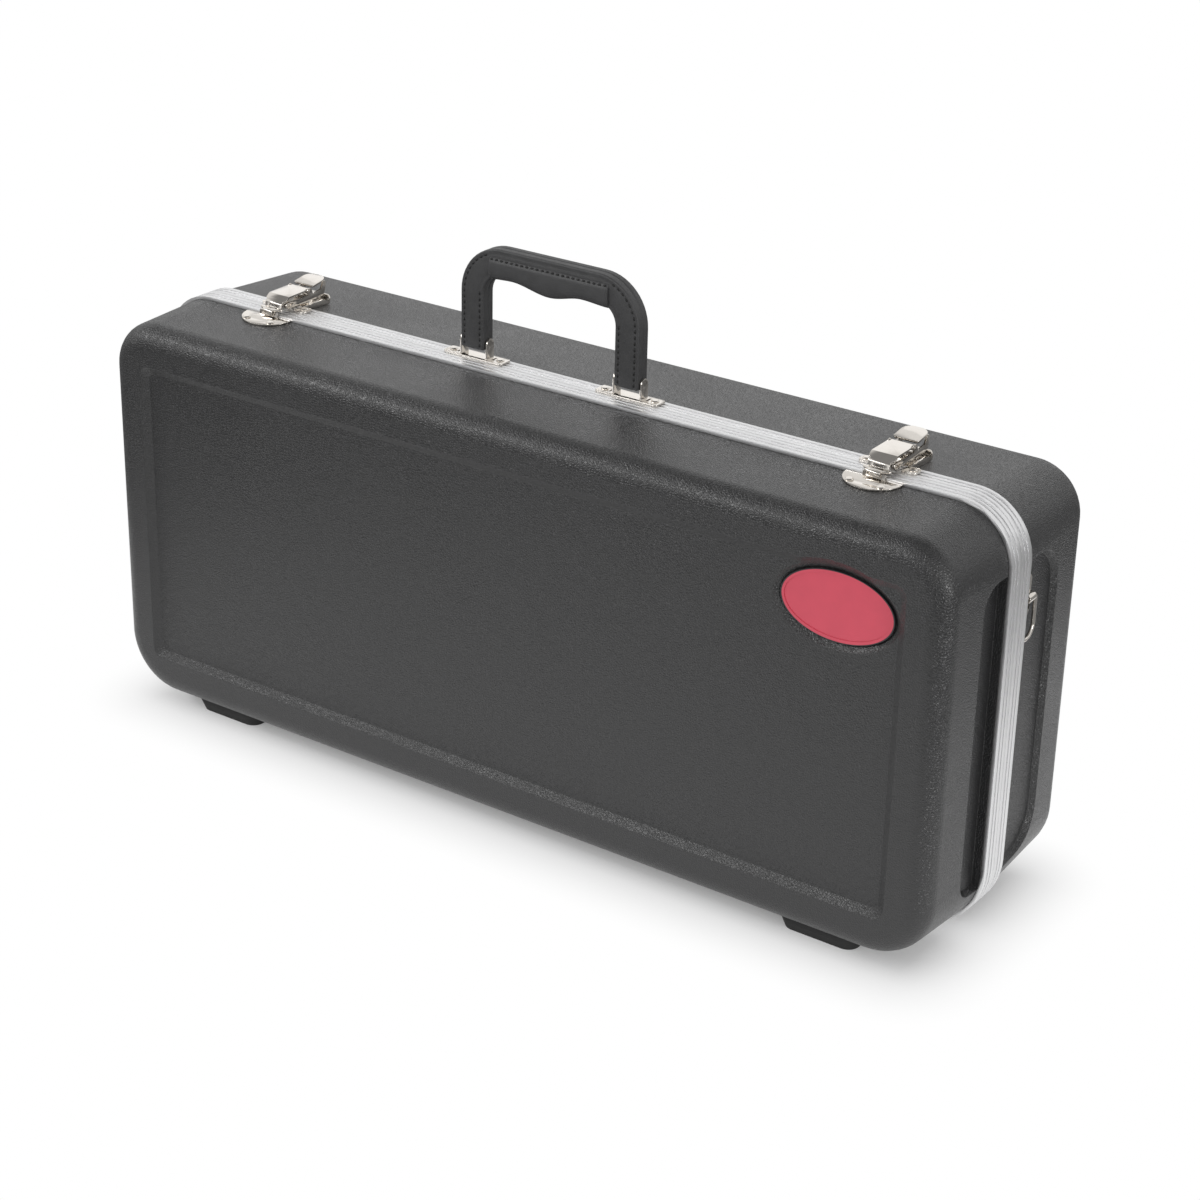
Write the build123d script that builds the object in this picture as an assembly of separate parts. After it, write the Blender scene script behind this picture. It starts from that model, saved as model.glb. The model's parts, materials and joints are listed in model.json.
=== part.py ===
from build123d import *
import math
import os

os.makedirs("parts", exist_ok=True)

# Case body
case_length = 650.0
case_height = 277.0
front_depth = 76.8
rear_depth = 98.3
wall = 3.0
top_corner_radius = 36.0
bottom_corner_radius = 44.0
face_edge_radius = 14.5
draft_angle = 3.0
foot_height = 9.0

# Sunk panel on both faces
panel_margin = 30.0
panel_depth = 3.7
panel_slope_run = 5.5
panel_corner_radius = 8.0

# Sunk pockets at both ends, beside the valance
pocket_depth = 6.0
pocket_height = 200.0
pocket_drop = 3.0
pocket_slope = 35.0
front_pocket_reach = 21.0
front_pocket_radius = 12.0
rear_pocket_reach = 46.0
rear_pocket_radius = 25.0

# Aluminium valance round the split
valance_width = 12.2
valance_proud = 2.3
valance_lip = 1.4
valance_reach_in = 9.0
rear_web = 1.6
front_web = 3.6
tongue_thickness = 1.6
tongue_inset = 0.6
tongue_length = 1.8
tongue_clearance = 0.6
valance_fit = 0.1
parting_gap = 0.3
seat_gap = 0.1
valance_groove_width = 1.3
valance_groove_depth = 0.6
valance_groove_places = (3.6, 7.4)

# Oval badge
badge_inset = 77.0
badge_x = case_length / 2 - badge_inset
badge_rise = 81.5
badge_length = 76.0
badge_height = 44.0
badge_thickness = 1.6
badge_recess_depth = 3.4
badge_recess_border = 4.0
badge_rim_width = 2.4
badge_rim_height = 0.5

# Lining
liner_fit = 0.4
liner_set_back = 1.2
bell_radius = 64.0
bow_radius = 78.0
neck_end_radius = 34.0
body_tube_radius = 48.0
bell_depth = 76.0
body_depth = 58.0
lid_bell_depth = 48.0
lid_body_depth = 34.0
bow_x = 216.0
bow_rise = -8.0
bell_x = 18.0
bell_rise = 48.0
tube_x = 232.0
tube_rise = -52.0
neck_end_x = -262.0
neck_end_rise = -78.0
pocket_row_rise = 52.0
store_height = 92.0
store_depth = 62.0
neck_store_x = -232.0
neck_store_length = 112.0
mouthpiece_store_x = -116.0
mouthpiece_store_length = 88.0
store_corner_radius = 16.0

# Rivets and screws
rivet_radius = 1.5
rivet_head_radius = 2.6
rivet_head_height = 1.1
rivet_head_chamfer = 0.65
rivet_grip = 2.0
rivet_fit = 0.05

# Hinges under the bottom edge
hinge_inset = 120.0
hinge_x = case_length / 2 - hinge_inset
hinge_length = 50.0
hinge_drop = 2.5
knuckle_radius = 2.2
knuckle_count = 5
knuckle_gap = 0.3
hinge_pin_radius = 1.1
leaf_thickness = 1.0
leaf_clearance = 0.4
leaf_reach = 11.6
hinge_rivet_y = 7.2
hinge_rivet_spacing = 33.0
running_fit = 0.05

# Feet
foot_inset = 83.0
foot_x = case_length / 2 - foot_inset
foot_length = 60.0
foot_width = 26.0
foot_taper = 22.0
foot_face_inset = 14.0
foot_sole_length = 51.0
foot_sole_width = 21.5
foot_corner_radius = 8.0
foot_well_radius = 5.0
foot_well_depth = 4.5
screw_head_radius = 4.2
screw_head_height = 2.4
screw_shank_radius = 2.0
screw_slot_width = 1.0
screw_slot_depth = 1.0

# How far a cutting shape runs past the surface that it opens
overcut = 1.0

# Carrying handle
handle_x = -12.0
handle_leg_spacing = 120.5
handle_leg_width = 18.0
handle_thickness = 11.5
handle_rise = 79.5
handle_corner_radius = 27.0
handle_edge_radius = 1.6
handle_leg_clearance = 9.4
core_thickness = 2.0
core_width = 6.0
core_fit = 0.1
core_end_gap = 0.4
grip_length = 92.0
grip_thickness = 16.0
grip_top_drop = 4.5
grip_depth = 20.0
grip_finger_depth = 4.6
grip_finger_shape = ((-1.0, 0.8), (-0.62, 1.0), (0.0, 0.0), (0.55, 0.9), (1.0, 0.6))
grip_edge_radius = 4.5
handle_pin_radius = 1.6
handle_pin_rise = 13.0
handle_pin_fit = 0.4

# Handle brackets
bracket_length = 47.0
bracket_width = 11.4
bracket_thickness = 1.2
bracket_ear_thickness = 1.5
bracket_ear_radius = 3.6
bracket_ear_gap = 0.5
bracket_rivet_spacing = 38.0
bracket_slot_length = 5.0
bracket_slot_width = 1.6
bracket_slot_offset = 14.0
bracket_corner_radius = 2.0

# Draw latches: places are measured from the split and from the top of the shell
latch_inset = 90.5
latch_x = case_length / 2 - latch_inset
sheet = 1.2
lever_pivot_y = -3.5
lever_pivot_rise = 7.0
hook_pivot_y = 18.8
hook_pivot_rise = 11.7
latch_pin_radius = 1.2
latch_pin_head = 0.5
lever_eye_radius = 2.1
hook_barrel_radius = 1.8
lever_cheek_inside = 7.9
lever_bend_y = 23.2
lever_bend_rise = 7.4
lever_tail_y = 31.6
lever_tail_rise = 8.6
lever_tail_radius = 2.3
lever_web_y = 33.8
lever_web_rise = 14.3
lever_web_radius = 1.4
lever_ear_foot_y = 20.2
tab_width = 17.2
tab_start_y = 22.2
tab_start_rise = 13.9
tab_end_y = 38.0
tab_end_rise = 16.6
tab_corner_radius = 6.5
tab_front_radius = 1.6
hook_width = 17.4
hook_neck_width = 15.0
hook_face_width = 14.0
hook_wing_width = 19.0
hook_tip_width = 9.0
hook_bend_y = -2.1
hook_brow_y = -7.6
hook_brow_rise = 8.5
hook_nose_y = -8.4
hook_lift = 0.5
hook_shoulder_y = 15.9
hook_bend_radius = 0.8
hook_arc_radius = 15.0
hook_slot_length = 7.0
hook_slot_height = 1.7
hook_slot_rise = 7.0
hook_end_clearance = 1.0
hook_over_lip = 0.5
keeper_width = 38.0
keeper_depth = 17.5
keeper_curve_depth = 17.0
keeper_thickness = 1.0
keeper_lip_width = 15.0
keeper_lip_rise = 4.2
keeper_rivet_spacing = 21.3
keeper_rivet_back = 11.0
keeper_fit = 0.3
base_end_y = 36.0
base_rail_rise = 3.4
base_rail_inside = 10.0
base_ear_gap = 0.3
base_ear_front = 0.8
base_ear_end_y = 19.5
base_ear_rise = 5.0
base_flange_reach = 19.6
base_flange_rivet = 15.6
base_flange_y = 5.2
base_flange_depth = 9.4
base_flange_corner = 3.0
base_plate_rivet_y = 31.0
base_plate_rivet_spacing = 12.5
base_turned_end = 5.6
base_turned_length = 1.0
base_bend_radius = 1.0
base_turned_corner = 3.2
base_rail_foot = 6.0

# Strap hardware at both ends
strap_rise = 74.5
strap_y = 23.6
strap_plate_width = 12.0
strap_plate_height = 28.0
strap_plate_thickness = 1.5
strap_rivet_spacing = 18.5
strap_plate_corner = 5.0
ring_wire_radius = 1.3
ring_width = 20.0
ring_height = 30.0
ring_top_radius = 3.4
ring_clearance = 0.5
saddle_width = 8.0
saddle_thickness = 1.3

# Worked-out places
split_y = (front_depth - rear_depth) / 2
mid_z = foot_height + case_height / 2
shell_top = foot_height + case_height
valance_top = shell_top + valance_proud
valance_bottom = foot_height - valance_proud
half_length = case_length / 2
oversize = 2 * case_length
front_place = Plane(origin=(0, split_y, mid_z), x_dir=(1, 0, 0), z_dir=(0, -1, 0)).location
rear_place = Plane(origin=(0, split_y, mid_z), x_dir=(-1, 0, 0), z_dir=(0, 1, 0)).location
lever_pivot = (split_y + lever_pivot_y, shell_top + lever_pivot_rise)
hook_pivot = (split_y + hook_pivot_y, shell_top + hook_pivot_rise)
hinge_z = valance_bottom - hinge_drop
bracket_y = split_y + parting_gap / 2 + bracket_width / 2 + parting_gap
handle_pin_z = shell_top + handle_pin_rise
strap_centre = (split_y + strap_y, mid_z + strap_rise)
strap_floor_x = half_length - pocket_depth
ring_axis_x = strap_floor_x + strap_plate_thickness + ring_wire_radius + ring_clearance


def write(name, shape):
    """Save one named piece."""
    export_step(shape, f"parts/{name}.step")


def outline(grow=0.0):
    """Outline of the case at the split, with rounder bottom corners."""
    shape = Rectangle(case_length + 2 * grow, case_height + 2 * grow)
    shape = fillet(shape.vertices().group_by(Axis.Y)[0], bottom_corner_radius + grow)
    return fillet(shape.vertices().group_by(Axis.Y)[-1], top_corner_radius + grow)


def slab(low, high):
    """Oversize slab between two depths from the split."""
    return Pos(0, 0, (low + high) / 2) * Box(oversize, oversize, high - low)


def ring(outer, inner, low, high):
    """Band that follows the case outline between two depths."""
    return Pos(0, 0, low) * extrude(outline(outer) - outline(inner), amount=high - low)


def sheet_profile(points, radius):
    """Bent sheet seen from the end, in the YZ plane."""
    return Plane.YZ * trace(FilletPolyline(*points, radius=radius), line_width=sheet)


def across(profile, width):
    """Profile in the YZ plane made solid, centred on X."""
    return extrude(profile, amount=width / 2, both=True)


def disc(place, radius):
    """Circle in the YZ plane's own coordinates."""
    return Pos(place[0], place[1]) * Circle(radius)


def hull(*circles):
    """Smallest outline round some circles."""
    edges = ShapeList()
    for circle in circles:
        edges += circle.edges()
    return make_hull(edges)


def rod_x(place, radius, length):
    """Round bar along X through a point of the YZ plane."""
    return Pos(0, *place) * Rot(0, 90, 0) * Cylinder(radius, length)


def panel_recess(face, inset):
    """Sunk panel with sloped walls."""
    length = case_length - 2 * panel_margin + 2 * inset
    height = case_height - 2 * panel_margin + 2 * inset
    radius = panel_corner_radius + inset
    mouth = RectangleRounded(length, height, radius)
    run = panel_slope_run
    floor = RectangleRounded(length - 2 * run, height - 2 * run, radius - run / 2)
    return loft([Pos(0, 0, face) * mouth, Pos(0, 0, face - panel_depth) * floor])


def badge_recess(floor, inset):
    """Oval recess for the badge, whose sloped wall runs on up through the panel's edge."""
    long_axis = badge_length / 2 + inset + parting_gap
    short_axis = badge_height / 2 + inset + parting_gap
    border = badge_recess_border * (badge_recess_depth + panel_depth) / badge_recess_depth
    bottom = Pos(badge_x, badge_rise, floor - badge_recess_depth) * Ellipse(long_axis, short_axis)
    mouth = Ellipse(long_axis + border, short_axis + border)
    return loft([bottom, Pos(badge_x, badge_rise, floor + panel_depth) * mouth])


def end_pocket(side, reach, radius, inset):
    """Sunk pocket at one end, cut off square at the valance."""
    floor_x = side * (half_length - pocket_depth - inset)
    place = Plane(origin=(floor_x, -pocket_drop, 0), x_dir=(0, 1, 0), z_dir=(side, 0, 0))
    depth = 2 * (valance_width + reach + inset)
    mouth = RectangleRounded(pocket_height + 2 * inset, depth, radius + inset)
    cut = extrude(place * mouth, amount=pocket_depth + 2 * inset, taper=-pocket_slope)
    return cut - slab(-depth, valance_width - inset)


def half_form(depth, reach, radius, inset, has_badge):
    """Closed form of one half, drawn in from the outside by inset."""
    face = depth - inset
    rim = outline(-inset)
    form = extrude(rim, amount=valance_width)
    form += extrude(Pos(0, 0, valance_width) * rim, amount=face - valance_width, taper=draft_angle)
    form = fillet(form.faces().sort_by(Axis.Z)[-1].edges(), face_edge_radius - inset)
    form -= panel_recess(face, inset)
    for side in (-1, 1):
        form -= end_pocket(side, reach, radius, inset)
    if has_badge:
        form -= badge_recess(face - panel_depth, inset)
    return form


def front_form(inset):
    return half_form(front_depth, front_pocket_reach, front_pocket_radius, inset, True)


def rear_form(inset):
    return half_form(rear_depth, rear_pocket_reach, rear_pocket_radius, inset, False)


def valance(web, has_tongue):
    """Aluminium channel that grips the shell's edge."""
    gap = parting_gap / 2
    inner = wall + valance_fit
    frame = ring(valance_proud, valance_fit, gap, valance_width)
    frame += ring(valance_proud, -inner - valance_lip, gap, gap + web)
    frame += ring(-inner, -inner - valance_lip, gap, valance_reach_in)
    for place in valance_groove_places:
        floor = valance_proud - valance_groove_depth
        frame -= ring(valance_proud + overcut, floor, place, place + valance_groove_width)
    first = -tongue_inset
    if has_tongue:
        return frame + ring(first, first - tongue_thickness, -tongue_length, gap + web / 2)
    room = tongue_clearance
    return frame - ring(first + room, first - tongue_thickness - room, -overcut, tongue_length + room)


def oval(x, rise, radius):
    return Pos(x, rise) * Circle(radius)


def instrument_recess(bell, body, facing):
    """Hollow for the instrument: bell branch, bow and body tube."""
    bow = oval(facing * bow_x, bow_rise, bow_radius)
    bell_end = oval(facing * bell_x, bell_rise, bell_radius)
    tube = oval(facing * tube_x, tube_rise, body_tube_radius)
    neck_end = oval(facing * neck_end_x, neck_end_rise, neck_end_radius)
    deep = extrude(hull(bow, bell_end), amount=bell)
    shallow = extrude(hull(tube, neck_end), amount=body)
    return deep + shallow


def store(x, length, facing):
    """Square-cornered store in the lining."""
    mouth = RectangleRounded(length, store_height, store_corner_radius)
    return extrude(Pos(facing * x, pocket_row_rise) * mouth, amount=store_depth)


def liner_body(form):
    """Moulded lining that fills a shell, set back under the valance's inner lip."""
    lip = wall + valance_fit + valance_lip + liner_fit
    body = form - slab(-overcut, liner_set_back)
    return body - ring(0, -lip, -overcut, valance_reach_in + liner_fit)


def base_liner():
    body = liner_body(rear_form(wall + liner_fit))
    hollow = instrument_recess(bell_depth, body_depth, -1)
    hollow += store(neck_store_x, neck_store_length, -1)
    hollow += store(mouthpiece_store_x, mouthpiece_store_length, -1)
    return body - hollow


def lid_liner():
    body = liner_body(front_form(wall + liner_fit))
    return body - instrument_recess(lid_bell_depth, lid_body_depth, 1)


def rivet(place):
    """Round-headed rivet, standing on a place whose Z points out of the sheet."""
    head = Pos(0, 0, rivet_head_height / 2) * Cylinder(rivet_head_radius, rivet_head_height)
    head = chamfer(head.faces().sort_by(Axis.Z)[-1].edges(), rivet_head_chamfer)
    stem = Pos(0, 0, -rivet_grip / 2) * Cylinder(rivet_radius, rivet_grip)
    return place * (head + stem)


def rivet_hole(place):
    return place * (Pos(0, 0, -rivet_grip / 2) * Cylinder(rivet_radius + rivet_fit, rivet_grip * 2))


def drilled(shape, places):
    """Shape with a hole for each rivet."""
    for place in places:
        shape -= rivet_hole(place)
    return shape


def group(name, places):
    """One node of like rivets."""
    write(name, Compound([rivet(place) for place in places]))


def upright(x, y, z):
    return Location((x, y, z))


def hanging(x, y, z):
    return Location((x, y, z), (180, 0, 0))


def sideways(side, y, z, x):
    return Plane(origin=(side * x, y, z), x_dir=(0, side, 0), z_dir=(side, 0, 0)).location


bracket_centres = [handle_x + side * handle_leg_spacing / 2 for side in (-1, 1)]
bracket_plate_z = valance_top + seat_gap
bracket_rivets = [
    upright(centre + side * bracket_rivet_spacing / 2, bracket_y, bracket_plate_z + bracket_thickness)
    for centre in bracket_centres
    for side in (-1, 1)
]
latch_centres = [-latch_x, latch_x]
base_flange_z = valance_top + seat_gap
rear_slope = math.tan(math.radians(draft_angle))
base_start_y = split_y + valance_width + keeper_fit
base_start_z = shell_top + parting_gap / 2
base_flange_rivets = [
    upright(centre + side * base_flange_rivet, split_y + base_flange_y, base_flange_z + sheet)
    for centre in latch_centres
    for side in (-1, 1)
]
base_plate_rivets = [
    Location((centre + side * base_plate_rivet_spacing / 2, base_start_y, base_start_z),
             (-draft_angle, 0, 0))
    * Pos(0, base_plate_rivet_y - valance_width, sheet)
    for centre in latch_centres
    for side in (-1, 1)
]
keeper_y = split_y - valance_width - keeper_fit
keeper_z = shell_top + seat_gap
keeper_rivets = [
    Location((centre + side * keeper_rivet_spacing / 2, keeper_y, keeper_z), (draft_angle, 0, 0))
    * Pos(0, -keeper_rivet_back, keeper_thickness)
    for centre in latch_centres
    for side in (-1, 1)
]
leaf_z = valance_bottom - parting_gap - leaf_thickness
hinge_rivets_rear = [
    hanging(side * hinge_x + step * hinge_rivet_spacing / 2, split_y + hinge_rivet_y, leaf_z)
    for side in (-1, 1)
    for step in (-1, 1)
]
hinge_rivets_front = [
    hanging(side * hinge_x + step * hinge_rivet_spacing / 2, split_y - hinge_rivet_y, leaf_z)
    for side in (-1, 1)
    for step in (-1, 1)
]
strap_rivets = [
    sideways(side, strap_centre[0], strap_centre[1] + step * strap_rivet_spacing / 2,
             strap_floor_x + seat_gap + strap_plate_thickness)
    for side in (-1, 1)
    for step in (-1, 1)
]


def foot_centre_y(front):
    face = -front_depth if front else rear_depth
    toward = 1 if front else -1
    return split_y + face + toward * (foot_face_inset + foot_width / 2)


def foot_screw_length(front):
    """From the screw's seat in the foot to inside the shell's wall."""
    slope_rise = (abs(foot_centre_y(front) - split_y) - valance_width) * rear_slope
    return foot_height + slope_rise - foot_well_depth + wall - parting_gap


def foot_screw_bar(side, front, radius):
    length = foot_screw_length(front)
    return Pos(side * foot_x, foot_centre_y(front), foot_well_depth + length / 2) * Cylinder(radius, length)


def screwed(shape, front):
    """Shell with the holes for its two foot screws."""
    for side in (-1, 1):
        shape -= foot_screw_bar(side, front, screw_shank_radius + rivet_fit)
    return shape


def shells_and_valances():
    rear = rear_form(0) - rear_form(wall) - slab(-overcut, rear_web + parting_gap)
    rear = drilled(rear_place * rear, base_plate_rivets + strap_rivets)
    write("rear_shell", screwed(rear, False))
    front = front_form(0) - front_form(wall) - slab(-overcut, front_web + parting_gap)
    front = drilled(front_place * front, keeper_rivets)
    write("front_shell", screwed(front, True))
    rear_band = drilled(rear_place * valance(rear_web, True),
                        bracket_rivets + base_flange_rivets + hinge_rivets_rear)
    write("rear_valance", rear_band)
    front_band = drilled(front_place * valance(front_web, False), hinge_rivets_front)
    write("front_valance", front_band)
    write("base_liner", rear_place * base_liner())
    write("lid_liner", front_place * lid_liner())


def badge():
    """Bare oval plate with a raised rim."""
    floor = front_depth - panel_depth - badge_recess_depth
    body = extrude(Ellipse(badge_length / 2, badge_height / 2), amount=badge_thickness)
    inner = Ellipse(badge_length / 2 - badge_rim_width, badge_height / 2 - badge_rim_width)
    sink = extrude(inner, amount=badge_rim_height)
    body -= Pos(0, 0, badge_thickness - badge_rim_height) * sink
    write("badge", front_place * Pos(badge_x, badge_rise, floor + seat_gap) * body)


def hinge_leaf(side, front):
    """Hinge leaf with its own knuckles, rear or front."""
    way = -1 if front else 1
    pitch = hinge_length / knuckle_count
    clear = knuckle_radius + leaf_clearance
    plate_width = leaf_reach - clear
    middle_y = split_y + way * (clear + plate_width / 2)
    leaf = Pos(0, middle_y, leaf_z + leaf_thickness / 2) * Box(hinge_length, plate_width, leaf_thickness)
    first = 1 if front else 0
    for index in range(first, knuckle_count, 2):
        x = (index - (knuckle_count - 1) / 2) * pitch
        width = pitch - knuckle_gap
        leaf += Pos(x, 0, 0) * rod_x((split_y, hinge_z), knuckle_radius, width)
        tangent = leaf_z + leaf_thickness / 2
        leaf += Pos(x, split_y + way * clear / 2, tangent) * Box(width, clear, leaf_thickness)
    leaf -= rod_x((split_y, hinge_z), hinge_pin_radius + running_fit, hinge_length * 2)
    rivets = hinge_rivets_front if front else hinge_rivets_rear
    name = "front" if front else "rear"
    end = "left" if side < 0 else "right"
    write(f"hinge_leaf_{name}_{end}", drilled(Pos(side * hinge_x, 0, 0) * leaf, rivets))


def hinges():
    for side in (-1, 1):
        hinge_leaf(side, False)
        hinge_leaf(side, True)
        pin = Pos(side * hinge_x, 0, 0) * rod_x((split_y, hinge_z), hinge_pin_radius, hinge_length)
        write(f"hinge_pin_{'left' if side < 0 else 'right'}", pin)
    group("hinge_rivets_rear", hinge_rivets_rear)
    group("hinge_rivets_front", hinge_rivets_front)


def feet(front):
    """Tapered pads cut to the shell's sloped underside, each with a sunk screw."""
    form = front_place * front_form(0) if front else rear_place * rear_form(0)
    name = "front" if front else "rear"
    y = foot_centre_y(front)
    tall = foot_height * 2
    screws = []
    for side in (-1, 1):
        base = RectangleRounded(foot_sole_length, foot_sole_width, foot_corner_radius)
        pad = extrude(base, amount=tall, taper=-foot_taper)
        pad = Pos(side * foot_x, y, 0) * pad
        pad &= Pos(side * foot_x, y, tall / 2) * Box(foot_length, foot_width, tall)
        well = Pos(side * foot_x, y, foot_well_depth / 2) * Cylinder(foot_well_radius, foot_well_depth)
        pad -= form
        pad = pad - well - foot_screw_bar(side, front, screw_shank_radius + rivet_fit)
        write(f"foot_{name}_{'left' if side < 0 else 'right'}", pad)
        head_z = foot_well_depth - screw_head_height / 2
        screw = Pos(side * foot_x, y, head_z) * Cylinder(screw_head_radius, screw_head_height)
        screw += foot_screw_bar(side, front, screw_shank_radius)
        slot_z = foot_well_depth - screw_head_height + screw_slot_depth / 2
        slot = Box(2 * screw_head_radius, screw_slot_width, screw_slot_depth)
        screws.append(screw - Pos(side * foot_x, y, slot_z) * slot)
    write(f"foot_screws_{name}", Compound(screws))


def keepers():
    """Strike plates with an upturned lip for the hooks."""
    for centre, end in zip(latch_centres, ("left", "right")):
        half = Ellipse(keeper_width / 2, keeper_curve_depth)
        half = Pos(0, keeper_curve_depth - keeper_depth) * half
        half &= Pos(0, -keeper_depth / 2) * Rectangle(keeper_width, keeper_depth)
        plate = extrude(half, amount=keeper_thickness)
        lip_height = keeper_lip_rise - seat_gap
        lip = Pos(0, -sheet / 2, lip_height / 2) * Box(keeper_lip_width, sheet, lip_height)
        plate = Rot(draft_angle, 0, 0) * plate + lip
        plate = Pos(centre, keeper_y, keeper_z) * plate
        write(f"keeper_{end}", drilled(plate, keeper_rivets))
    group("keeper_rivets", keeper_rivets)


def base_place(distance):
    """Point of the base plate's middle layer, by its distance behind the split."""
    y = split_y + distance
    return y, base_start_z + sheet / 2 - (y - base_start_y) * rear_slope


def latch_base(centre, end):
    """Base with low side rails and inner pivot ears, riveted to the shell and the valance."""
    start = (base_start_y, base_start_z + sheet / 2)
    last = base_place(base_end_y)
    turned = (last[0] + base_turned_length, last[1] + base_turned_end)
    plate = across(sheet_profile([start, last, turned], base_bend_radius), 2 * (base_rail_inside + sheet))
    front_view = Rectangle(2 * (base_rail_inside + sheet), base_end_y)
    front_view = fillet(front_view.vertices().group_by(Axis.Y)[-1], base_turned_corner)
    front_view = Pos(0, turned[1] - base_end_y / 2) * front_view
    plate &= extrude(Plane.XZ * front_view, amount=oversize, both=True)
    floor = base_flange_z
    rail_top = shell_top + base_rail_rise
    front_y = split_y + base_flange_y - base_flange_depth / 2
    rail_face = make_face(Polyline(
        (front_y, floor), (start[0], floor), start, last, (last[0], last[1] + base_rail_rise / 2),
        (split_y + base_end_y - base_rail_foot, rail_top), (front_y + base_rail_foot, rail_top),
        (front_y, floor + sheet), close=True))
    rail = extrude(Plane.YZ * rail_face, amount=sheet)
    ear_end = base_place(base_ear_end_y)
    ear_face = make_face(Polyline(
        (split_y + base_ear_front, floor), (start[0], floor), start, ear_end,
        (ear_end[0], shell_top + base_ear_rise), lever_pivot, close=True))
    ear = extrude(Plane.YZ * (ear_face + disc(lever_pivot, lever_eye_radius)), amount=sheet)
    ear_inside = lever_cheek_inside - base_ear_gap - sheet
    for side in (-1, 1):
        plate += Pos(base_rail_inside if side > 0 else -base_rail_inside - sheet, 0, 0) * rail
        plate += Pos(ear_inside if side > 0 else -ear_inside - sheet, 0, 0) * ear
        flange_length = base_flange_reach - base_rail_inside
        flange = Box(flange_length, base_flange_depth, sheet)
        flange = fillet(flange.edges().filter_by(Axis.Z), base_flange_corner)
        flange_x = side * (base_rail_inside + flange_length / 2)
        plate += Pos(flange_x, split_y + base_flange_y, floor + sheet / 2) * flange
    plate -= rod_x(lever_pivot, latch_pin_radius, oversize)
    plate = Pos(centre, 0, 0) * plate
    write(f"latch_base_{end}", drilled(plate, base_flange_rivets + base_plate_rivets))
    pin = rod_x(lever_pivot, latch_pin_radius, 2 * (lever_cheek_inside + sheet + latch_pin_head))
    write(f"latch_lever_pin_{end}", Pos(centre, 0, 0) * pin)


def latch_lever(centre, end):
    """Pressed lever: two long cheeks with an ear each, a floor and a broad thumb tab."""
    bend = (split_y + lever_bend_y, shell_top + lever_bend_rise)
    tail = (split_y + lever_tail_y, shell_top + lever_tail_rise)
    web = (split_y + lever_web_y, shell_top + lever_web_rise)
    ear_foot = (split_y + lever_ear_foot_y, bend[1])
    cheek = hull(disc(lever_pivot, lever_eye_radius), disc(bend, lever_eye_radius))
    cheek += hull(disc(bend, lever_eye_radius), disc(tail, lever_tail_radius))
    cheek += hull(disc(tail, lever_tail_radius), disc(web, lever_web_radius))
    cheek += hull(disc(hook_pivot, lever_eye_radius), disc(ear_foot, lever_eye_radius))
    cheek = extrude(Plane.YZ * cheek, amount=sheet)
    body = Pos(lever_cheek_inside, 0, 0) * cheek + Pos(-lever_cheek_inside - sheet, 0, 0) * cheek
    floor_length = tail[0] - ear_foot[0]
    floor = Box(2 * lever_cheek_inside + sheet, floor_length, sheet)
    body += Pos(0, tail[0] - floor_length / 2, bend[1] - lever_eye_radius + sheet) * floor
    tab_start = (split_y + tab_start_y, shell_top + tab_start_rise)
    tab_end = (split_y + tab_end_y, shell_top + tab_end_rise)
    tab_line = Line((0, *tab_start), (0, *tab_end))
    tab_place = Plane(origin=tab_line @ 0.5, x_dir=(1, 0, 0), z_dir=Vector(1, 0, 0).cross(tab_line % 0))
    flat = Rectangle(tab_width, tab_line.length)
    flat = fillet(flat.vertices().group_by(Axis.Y)[-1], tab_corner_radius)
    flat = fillet(flat.vertices().group_by(Axis.Y)[0], tab_front_radius)
    body += extrude(tab_place * flat, amount=sheet / 2, both=True)
    body -= rod_x(lever_pivot, latch_pin_radius + running_fit, oversize)
    body -= rod_x(hook_pivot, latch_pin_radius, oversize)
    write(f"latch_lever_{end}", Pos(centre, 0, 0) * body)
    pin = rod_x(hook_pivot, latch_pin_radius, 2 * (lever_cheek_inside + sheet + latch_pin_head))
    write(f"hook_pin_{end}", Pos(centre, 0, 0) * pin)


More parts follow.
